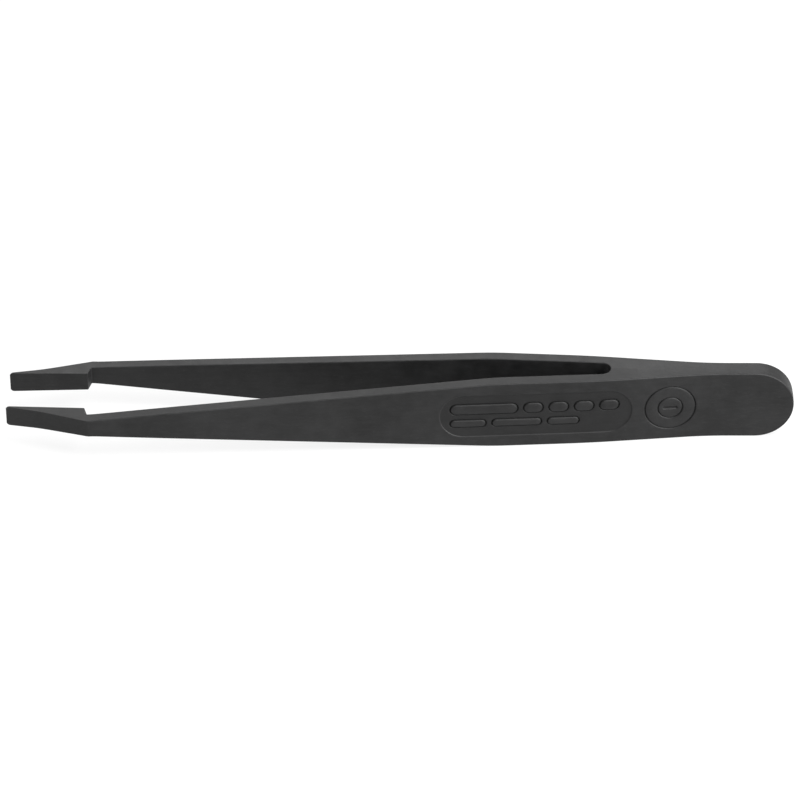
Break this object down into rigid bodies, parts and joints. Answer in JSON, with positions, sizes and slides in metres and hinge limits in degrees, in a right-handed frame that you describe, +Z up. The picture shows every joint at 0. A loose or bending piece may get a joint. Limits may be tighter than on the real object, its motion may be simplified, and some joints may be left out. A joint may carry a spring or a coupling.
{
  "type": "precision tweezers",
  "caption": "Moulded black plastic tweezers with blunt stepped jaws, long tapering spring arms, a thin rounded tail and a blank marking panel.",
  "frame": {"origin": "under the middle of the part, half way between jaw tips and tail end and between the arms, on the surface that its long edges stand on", "axes": "+X from the jaw tips to the tail, +Y across the opening towards the rear arm, +Z up across the width"},
  "size_m": [0.115, 0.015, 0.0112],
  "materials": {
    "filled_plastic": "matt black, carbon-fibre-filled"
  },
  "bodies": {
    "tail": {"tail_end": "filled_plastic", "root_block": "filled_plastic", "front_spring_root": "filled_plastic", "rear_spring_root": "filled_plastic"},
    "front_arm": {"front_spring_leaf": "filled_plastic", "front_finger_grip": "filled_plastic", "front_nose": "filled_plastic", "front_jaw": "filled_plastic"},
    "rear_arm": {"rear_spring_leaf": "filled_plastic", "rear_finger_grip": "filled_plastic", "rear_nose": "filled_plastic", "rear_jaw": "filled_plastic"}
  },
  "joints": [
    {"name": "front_arm_flex", "type": "hinge", "parent": "tail", "child": "front_arm", "pos_m": [0.0195, -0.00195, 0.0056], "axis": [0, 0, -1], "range_deg": [0, 3], "stiffness_Nm_per_rad": 1.2},
    {"name": "rear_arm_flex", "type": "hinge", "parent": "tail", "child": "rear_arm", "pos_m": [0.0195, 0.00195, 0.0056], "axis": [0, 0, 1], "range_deg": [0, 3], "stiffness_Nm_per_rad": 1.2}
  ],
  "couplings": [
    {"joint": "rear_arm_flex", "follows": "front_arm_flex", "ratio": 1}
  ]
}
